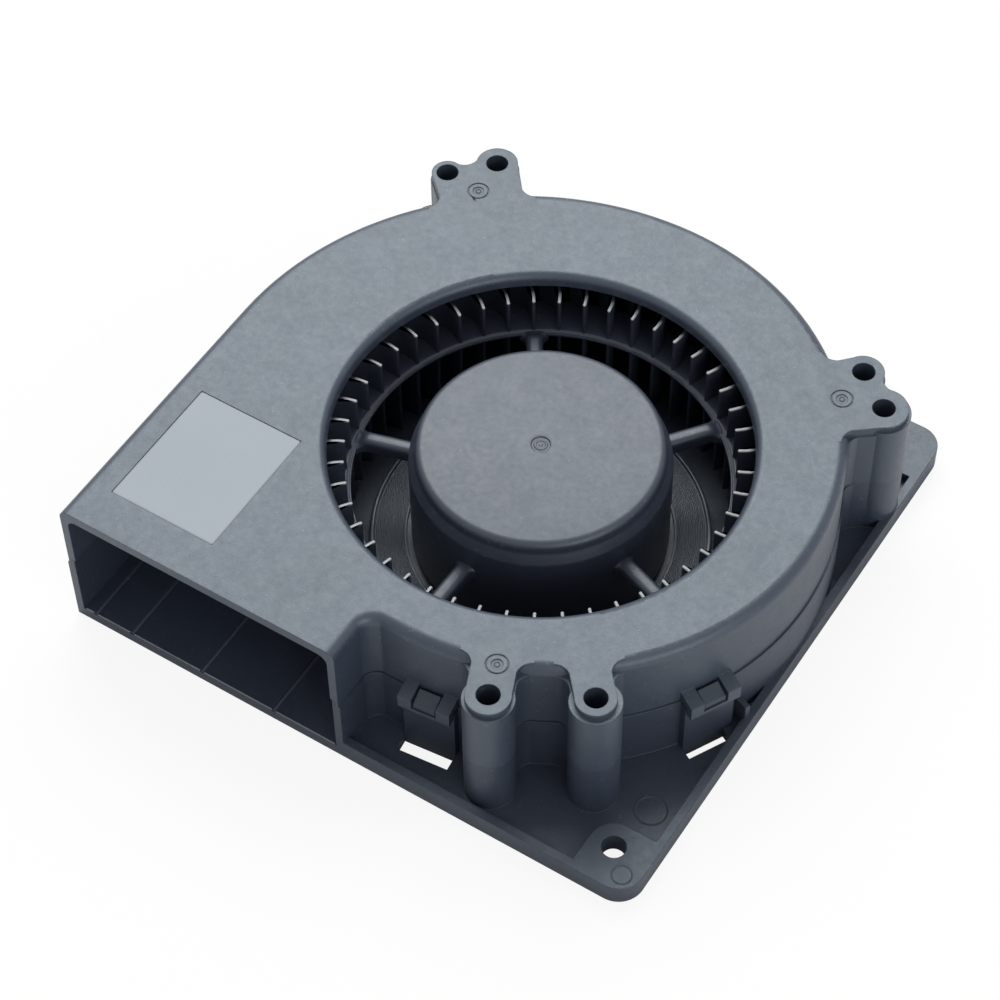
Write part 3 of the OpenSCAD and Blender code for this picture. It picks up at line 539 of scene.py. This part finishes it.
def ring_shell():
    """The thin ring that carries the blades: a flat section whose inner lip falls away to a fine bead, turned
    round."""
    (r0, r1), (z0, z1) = RING_R, RING_Z
    middle = (r0 + r1) / 2
    bead_z = z1 - 0.28
    path = arc_corners([
        (middle, z1, 0), (r0 + 1.0, z1, 0.3), (r0 + 0.42, z1 - 0.42, 0.1), (r0 + 0.3, bead_z, 0.08),
        (r0 + 0.1, bead_z, 0.08), (r0, z1 - 0.5, 0.1), (r0, z0, 0.3), (r1, z0, 0.2), (r1, z1, 0.2),
        (middle + SEAM, z1, 0)], 4)
    return shell(lathe(path, 192), joined=True)


def rib_shell():
    """One rib: an arched section carried outwards from skirt to ring. The half width grows at both ends by
    R - sqrt(R^2 - d^2), d being how far the section is past the start of a fillet of radius R, and the back falls
    by a square of the distance near the ring."""
    half, edge, low_edge = RIB_W / 2, 1.2, 0.3
    outer_fillet, inner_fillet = 2.1, 1.0
    fall_from, fall_reach, fall = 33.2, 1.8, 0.2
    arch = arc_corners([
        (0, RIB_TOP, 0), (half, RIB_TOP, edge), (half, RIB_TOP - RIB_T, low_edge),
        (-half, RIB_TOP - RIB_T, low_edge), (-half, RIB_TOP, edge), (-SEAM, RIB_TOP, 0)], 6)
    x = np.concatenate([np.linspace(SKIRT_R - 0.5, SKIRT_R + 1.2, 7), np.linspace(27, 32.5, 6),
                        np.linspace(33, RING_R[0] + 0.6, 9)])
    outer = np.clip(x - (RING_R[0] - outer_fillet), 0, outer_fillet - 0.05)
    inner = np.clip(SKIRT_R + inner_fillet - x, 0, inner_fillet - 0.05)
    grow = ((outer_fillet - np.sqrt(outer_fillet ** 2 - outer ** 2)) * 0.75
            + (inner_fillet - np.sqrt(inner_fillet ** 2 - inner ** 2)))
    deep = np.clip((RIB_TOP - arch[:, 1]) / 0.9, 0, 1)
    side = arch[:, 0] * (1 + grow[:, None] / half * (0.15 + 0.85 * deep))
    back = arch[:, 1] > RIB_TOP - RIB_T / 2
    drop = np.clip(x - fall_from, 0, fall_reach)[:, None] ** 2 * fall * back
    rows = np.stack([AXIS_MM[0] + x[:, None] + 0 * side, AXIS_MM[1] + side, arch[:, 1] - drop], -1)
    return shell(rows)


def blade_shell():
    """One blade: its plan is a strip along a swept line, r from the blade's inner end out and angle
    sweep * t^BLADE_BEND, with half-round ends. Rows go up the blade: it thins evenly by its draft, and the last
    ones draw in by a quarter round."""
    r0, r1 = BLADE_R
    half = BLADE_T / 2
    side_points, end_points = 7, 4
    run = np.linspace(r0 + half, r1 - half, side_points)
    out = np.linspace(-90, 90, end_points + 2)[1:-1]
    back = np.linspace(90, 270, end_points + 2)[1:-1]
    along = np.concatenate([run, np.full(end_points, run[-1]), run[::-1], np.full(end_points, run[0])])
    way = np.radians(np.concatenate([np.full(side_points, -90.0), out, np.full(side_points, 90.0), back]))
    z0, z1 = BLADE_Z
    turn = np.radians((0, 30, 60, 88))
    inset, rise = TIP_ROUND * (1 - np.cos(turn)), TIP_ROUND * np.sin(turn)
    levels = np.concatenate([[z0, z0 + 0.1, 8.0], z1 - TIP_ROUND + rise])
    shrink = np.concatenate([[0.1, 0.0, 0.0], inset])
    draft = BLADE_DRAFT * np.clip((levels - z0) / (z1 - z0), 0, 1)
    width = (half - draft - shrink)[:, None]
    r = along + width * np.cos(way)
    t = np.clip((r - r0) / (r1 - r0), 0, 1)
    angle = np.radians(BLADE_SWEEP_DEG) * t ** BLADE_BEND + width * np.sin(way) / r
    x, y = AXIS_MM[0] + r * np.cos(angle), AXIS_MM[1] + r * np.sin(angle)
    return shell(np.stack([x, y, levels[:, None] + 0 * r], -1))


def seat_turning():
    """Fine turned grooves on the motor seat: the height is a cosine of the radius, faded out at both edges."""
    pitch, height, lift, fade_w, under = 0.34, 0.05, 0.005, 0.2, 0.05
    inner, outer = SEAT_R
    r = np.linspace(inner, outer, 141)
    wave = height + height * np.cos((r - inner) * 2 * math.pi / pitch)
    fade = np.clip(np.minimum(r - inner, outer - r) / fade_w, 0, 1)
    top = np.stack([r, SEAT_Z + lift + wave * fade], 1)
    bottom = np.array([(outer, SEAT_Z - under), (inner, SEAT_Z - under)])
    return shell(lathe(np.vstack([top, bottom]), 180), joined=True)


def seat_bead():
    """Rounded crown of the bead round the seat: a low arch turned round the axis."""
    (r0, r1), (z0, z1) = BEAD_R, BEAD_Z
    middle, edge = 31.95, 0.2
    path = arc_corners([
        (middle, z1, 0), (r0, z1, edge), (r0, z0, 0), (r1, z0, 0), (r1, z1, edge), (middle + SEAM, z1, 0)], 5)
    return shell(lathe(path, 180), joined=True)


def floor_lips():
    """Front edge of the duct's floor, pale as a painted highlight: half-round bars between its four grooves, a small
    circle carried along x."""
    thin, thick = 0.06, 0.17
    tip_in, full_in = 0.45, 0.5
    middle_y, middle_z = -59.81, PLATE_T - 0.05
    turn = np.radians(np.arange(0, 360, 45))
    bars = []
    for x0, x1 in zip(FLOOR_STOPS_MM[:-1], FLOOR_STOPS_MM[1:]):
        x = np.array((x0 + tip_in, x0 + full_in, x1 - full_in, x1 - tip_in))
        radius = np.array((thin, thick, thick, thin))
        rows = np.stack([x[:, None] + 0 * turn, middle_y + radius[:, None] * np.cos(turn),
                         middle_z + radius[:, None] * np.sin(turn)], -1)
        bars.append(shell(rows))
    return bars


def groove_floors():
    """Paler floors of the duct's four grooves: a low arch, z = height * (1 - (x / half width)^2), carried
    along y."""
    half_w, low, under = 0.38, PLATE_T - 0.19, -0.4
    across = np.linspace(-1, 1, 9)
    y = np.array((-59.8, -59.6, -45.0, -30.6, -30.3))
    high = np.array((0.01, 0.09, 0.09, 0.09, 0.01))
    floors = []
    for middle in FLOOR_STOPS_MM[1:-1]:
        x = np.concatenate([middle + half_w * across, middle + half_w * across[::-1]])
        arch = np.concatenate([1 - across ** 2, np.full(len(across), under)])
        z = low + high[:, None] * arch
        floors.append(shell(np.stack([x + 0 * z, y[:, None] + 0 * z, z], -1)))
    return floors


def pin_mark(place, height, radius, rim):
    """Witness mark of a mould pin: a fine raised rim round a flat face, turned round its own axis."""
    face, crest, under = height + 0.012, height + 0.09, height - 0.05
    profile = arc_corners([
        (POLE_R, face, 0), (radius - rim, face, 0.1), (radius - rim * 0.75, crest, 0.03),
        (radius - 0.03, crest, 0.05), (radius, under, 0.02), (POLE_R, under, 0)], 4)
    return shell(lathe(profile, 64, place))


def label_shell():
    """Thin film with rounded corners: a rounded rectangle drawn in by d and raised to z for each pair of a
    profile."""
    (x0, y0), (x1, y1) = LABEL_BOX_MM
    z0, z1 = LABEL_Z
    round_r, least_r = 0.4, 0.25
    profile = ((0, z0), (0, z1 - 0.06), (0.02, z1 - 0.02), (0.07, z1), (0.5, z1), (2.0, z1 - 0.01), (6.0, z1 - 0.02))
    turn = np.radians(np.linspace(0, 90, 6))
    flips = np.array([(1, 1), (-1, 1), (-1, -1), (1, -1)])
    centre = np.array([(x0 + x1) / 2, (y0 + y1) / 2])
    rows = []
    for d, z in profile:
        corner = max(round_r - d, least_r)
        quarter = np.stack([np.cos(turn), np.sin(turn)], 1) * corner
        reach = np.array([(x1 - x0) / 2 - d - corner, (y1 - y0) / 2 - d - corner])
        parts = [centre + s * (reach + (quarter if s[0] * s[1] > 0 else quarter[::-1])) for s in flips]
        outline = np.vstack(parts)
        rows.append(np.hstack([outline, np.full((len(outline), 1), z)]))
    return shell(np.array(rows))


# Stage

def stage_floor(half, height):
    """A flat pale floor, far wider than the view, on which the blower lies. The camera sees it nearly white."""
    mesh = bpy.data.meshes.new("floor")
    corners = np.array([(-half, -half, height), (half, -half, height), (half, half, height), (-half, half, height)])
    mesh.from_pydata(corners.tolist(), [], [(0, 1, 2, 3)])
    floor = bpy.data.objects.new("floor", mesh)
    bpy.context.scene.collection.objects.link(floor)
    n = Nodes("pale_floor")
    roughness = n.ramp(n.noise(40), low=0.3, high=0.7, to_low=0.6, to_high=0.7)
    n.finish(rgb(0.8, 0.8, 0.8), roughness, n.bump(n.noise(4), 0.02), specular=0.2)
    white = n.add("ShaderNodeEmission")
    white.inputs["Color"].default_value = rgb(1, 1, 1)
    mix = n.add("ShaderNodeMixShader")
    far = n.ramp(n.from_axis(), *FLOOR_FADE_M, to_low=FLOOR_WHITE, to_high=1.0)
    share = n.sum(0.0, n.add("ShaderNodeLightPath").outputs["Is Camera Ray"], far)
    n.link(share, mix.inputs[0])
    n.link(n.shader.outputs["BSDF"], mix.inputs[1])
    n.link(white.outputs[0], mix.inputs[2])
    n.link(mix.outputs[0], n.out.inputs["Surface"])
    mesh.materials.append(n.material)


def studio_world():
    """White world: seen at full strength by camera and transmission rays, by a share of glossy rays, and at the
    plain light level by the rest."""
    world = bpy.data.worlds.new("studio")
    bpy.context.scene.world = world
    world.use_nodes = True
    tree = world.node_tree
    tree.nodes.clear()
    out = tree.nodes.new("ShaderNodeOutputWorld")
    mix = tree.nodes.new("ShaderNodeMixShader")
    path = tree.nodes.new("ShaderNodeLightPath")
    for k, strength in ((1, WORLD_LIGHT), (2, 1.0)):
        background = tree.nodes.new("ShaderNodeBackground")
        background.inputs["Color"].default_value = rgb(1, 1, 1)
        background.inputs["Strength"].default_value = strength
        tree.links.new(background.outputs[0], mix.inputs[k])
    seen = path.outputs["Is Camera Ray"]
    for kind, weight in (("Is Glossy Ray", GLOSSY_WHITE), ("Is Transmission Ray", 1.0)):
        either = tree.nodes.new("ShaderNodeMath")
        either.operation = "MULTIPLY_ADD"
        either.use_clamp = True
        either.inputs[1].default_value = weight
        tree.links.new(path.outputs[kind], either.inputs[0])
        tree.links.new(seen, either.inputs[2])
        seen = either.outputs[0]
    tree.links.new(seen, mix.inputs[0])
    tree.links.new(mix.outputs[0], out.inputs["Surface"])


def soft_lamp(name, place, size, power):
    """A rectangular area lamp turned towards the blower."""
    lamp = bpy.data.lights.new(name, "AREA")
    lamp.shape = "RECTANGLE"
    lamp.size, lamp.size_y = size
    lamp.energy = power
    light = bpy.data.objects.new(name, lamp)
    light.location = place
    aim = np.array(PANEL_TARGET_M, float) - np.array(place, float)
    light.rotation_euler = Vector(aim).to_track_quat("-Z", "Y").to_euler()
    bpy.context.scene.collection.objects.link(light)


def photo_camera():
    """The camera at the photograph's viewing angle."""
    lens = bpy.data.cameras.new("camera")
    lens.lens = CAMERA_LENS
    lens.sensor_width = CAMERA_SENSOR
    lens.clip_end = CAMERA_REACH_M
    camera = bpy.data.objects.new("camera", lens)
    camera.location = [c * MM for c in CAMERA_PLACE_MM]
    camera.rotation_euler = [math.radians(a) for a in CAMERA_TURN_DEG]
    bpy.context.scene.collection.objects.link(camera)
    bpy.context.scene.camera = camera


stage_floor(FLOOR_HALF_M, cad_box[0][2] - FLOOR_DROP_M)
studio_world()
for name, (place, size, power) in PANELS.items():
    soft_lamp(name, place, size, power)
photo_camera()
bpy.context.scene.view_settings.view_transform = "Standard"

# Finishes of the CAD nodes

COVER = spark_plastic("cover_plastic", (0.032, 0.041, 0.062), (0.042, 0.053, 0.077),
                      rough=0.41, grain_mm=0.3, depth_mm=0.03)
# The base: the cover's plastic in a darker colour, which is painted shade on the lower half.
BASE = spark_plastic("base_plastic", (0.024, 0.031, 0.05), (0.031, 0.039, 0.061),
                     rough=0.43, grain_mm=0.3, depth_mm=0.028)
IMPELLER = spark_plastic("impeller_plastic", (0.028, 0.035, 0.054), (0.036, 0.044, 0.068),
                         rough=0.41, grain_mm=0.24, depth_mm=0.022, edge_mm=0.2, tint=HUB_TINT)
# The blades: the impeller's plastic in a darker colour, which is painted shade on the deep blades, with a painted
# highlight on their tips.
BLADE = spark_plastic("blade_plastic_painted_shade", (0.017, 0.022, 0.035), (0.023, 0.029, 0.044),
                      rough=0.44, grain_mm=0.24, depth_mm=0.012, edge_mm=0.2, tip_highlight=True, tint=HUB_TINT)
SEAT = spark_plastic("turned_seat_plastic", (0.04, 0.047, 0.066), (0.05, 0.058, 0.078),
                     rough=0.32, grain_mm=0.15, depth_mm=0.004, edge_mm=0.05)
# Pale plastic of the duct floor's front edge: a painted highlight.
LIP = spark_plastic("lip_plastic_painted_highlight", (0.17, 0.185, 0.21), (0.26, 0.275, 0.3),
                    rough=0.34, grain_mm=0.2, depth_mm=0.01, edge_mm=0.05)
GROOVE = spark_plastic("groove_plastic", (0.062, 0.072, 0.096), (0.08, 0.092, 0.12),
                       rough=0.36, grain_mm=0.2, depth_mm=0.012, edge_mm=0.05)
LABEL = silver_film("label_film")
STEEL = polished_steel("bearing_steel")
FINISHES = {
    "base": BASE,
    "cover": COVER,
    "label": LABEL,
    "impeller": IMPELLER,
    "rotor_cup": pressed_steel("cup_steel", (0.36, 0.37, 0.38), (0.55, 0.56, 0.57)),
    "ring_magnet": sintered_magnet("magnet_ferrite"),
    "shaft_bushing": turned_metal("bushing_brass", (0.55, 0.4, 0.16), (0.75, 0.58, 0.27), AXIS_3D_MM),
    "shaft": turned_metal("shaft_steel", (0.5, 0.51, 0.53), (0.7, 0.71, 0.73), AXIS_3D_MM, 0.08),
    "retaining_clip": pressed_steel("clip_steel", (0.12, 0.12, 0.13), (0.24, 0.24, 0.25)),
    "preload_spring": polished_steel("spring_wire", 0.4),
    "bearing_tube": turned_metal("tube_brass", (0.5, 0.37, 0.15), (0.72, 0.55, 0.25), AXIS_3D_MM, 0.2),
    "low_outer_ring": STEEL,
    "low_inner_ring": STEEL,
    "low_ball_set": STEEL,
    "high_outer_ring": STEEL,
    "high_inner_ring": STEEL,
    "high_ball_set": STEEL,
    "stator_core": stacked_steel("stator_plates"),
    "low_insulator": pale_nylon("low_insulator_nylon"),
    "high_insulator": pale_nylon("high_insulator_nylon"),
    "windings": wound_copper("winding_copper"),
    "circuit_board": board_laminate("board_laminate"),
    "terminal_pins": polished_steel("pin_tin", 0.3),
    "position_sensor": chip_mould("sensor_mould"),
    "driver_chip": chip_mould("chip_mould"),
    "capacitor": pressed_steel("can_aluminium", (0.5, 0.51, 0.53), (0.68, 0.69, 0.7)),
}
for name, material in FINISHES.items():
    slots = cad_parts[name].data.materials
    slots.clear()
    slots.append(material)

# Pieces that stand for CAD nodes or lie on them

RIB_ANGLES = RIB_TURN_DEG + 360 / RIBS * np.arange(RIBS)
BLADE_ANGLES = BLADE_TURN_DEG + 360 / BLADES * np.arange(BLADES)
COVER_MARKS = [pin_mark(place, BODY_TOP - COVER_MARK_SINK, COVER_MARK_R, COVER_MARK_RIM) for place in COVER_MARKS_MM]
PLATE_MARKS = [pin_mark(place, height, radius, PLATE_MARK_RIM) for place, height, radius in PLATE_MARKS_MM]
piece("impeller_hub", [hub_shell()], IMPELLER, "rotor", "impeller_plastic", "impeller")
piece("impeller_ring", [ring_shell(), copies(rib_shell(), RIB_ANGLES)], IMPELLER, "rotor", "impeller_plastic",
      "impeller")
piece("impeller_blades", [copies(blade_shell(), BLADE_ANGLES)], BLADE, "rotor", "impeller_plastic", "impeller")
piece("motor_seat_turning", [seat_turning(), seat_bead()], SEAT, "housing", "base_plastic")
piece("duct_floor_lips", floor_lips(), LIP, "housing", "base_plastic")
piece("duct_groove_floors", groove_floors(), GROOVE, "housing", "base_plastic")
piece("cover_pin_marks", COVER_MARKS, COVER, "housing", "cover_plastic")
piece("plate_pin_marks", PLATE_MARKS, BASE, "housing", "base_plastic")
piece("label_film", [label_shell()], LABEL, "housing", "label_film", "label")
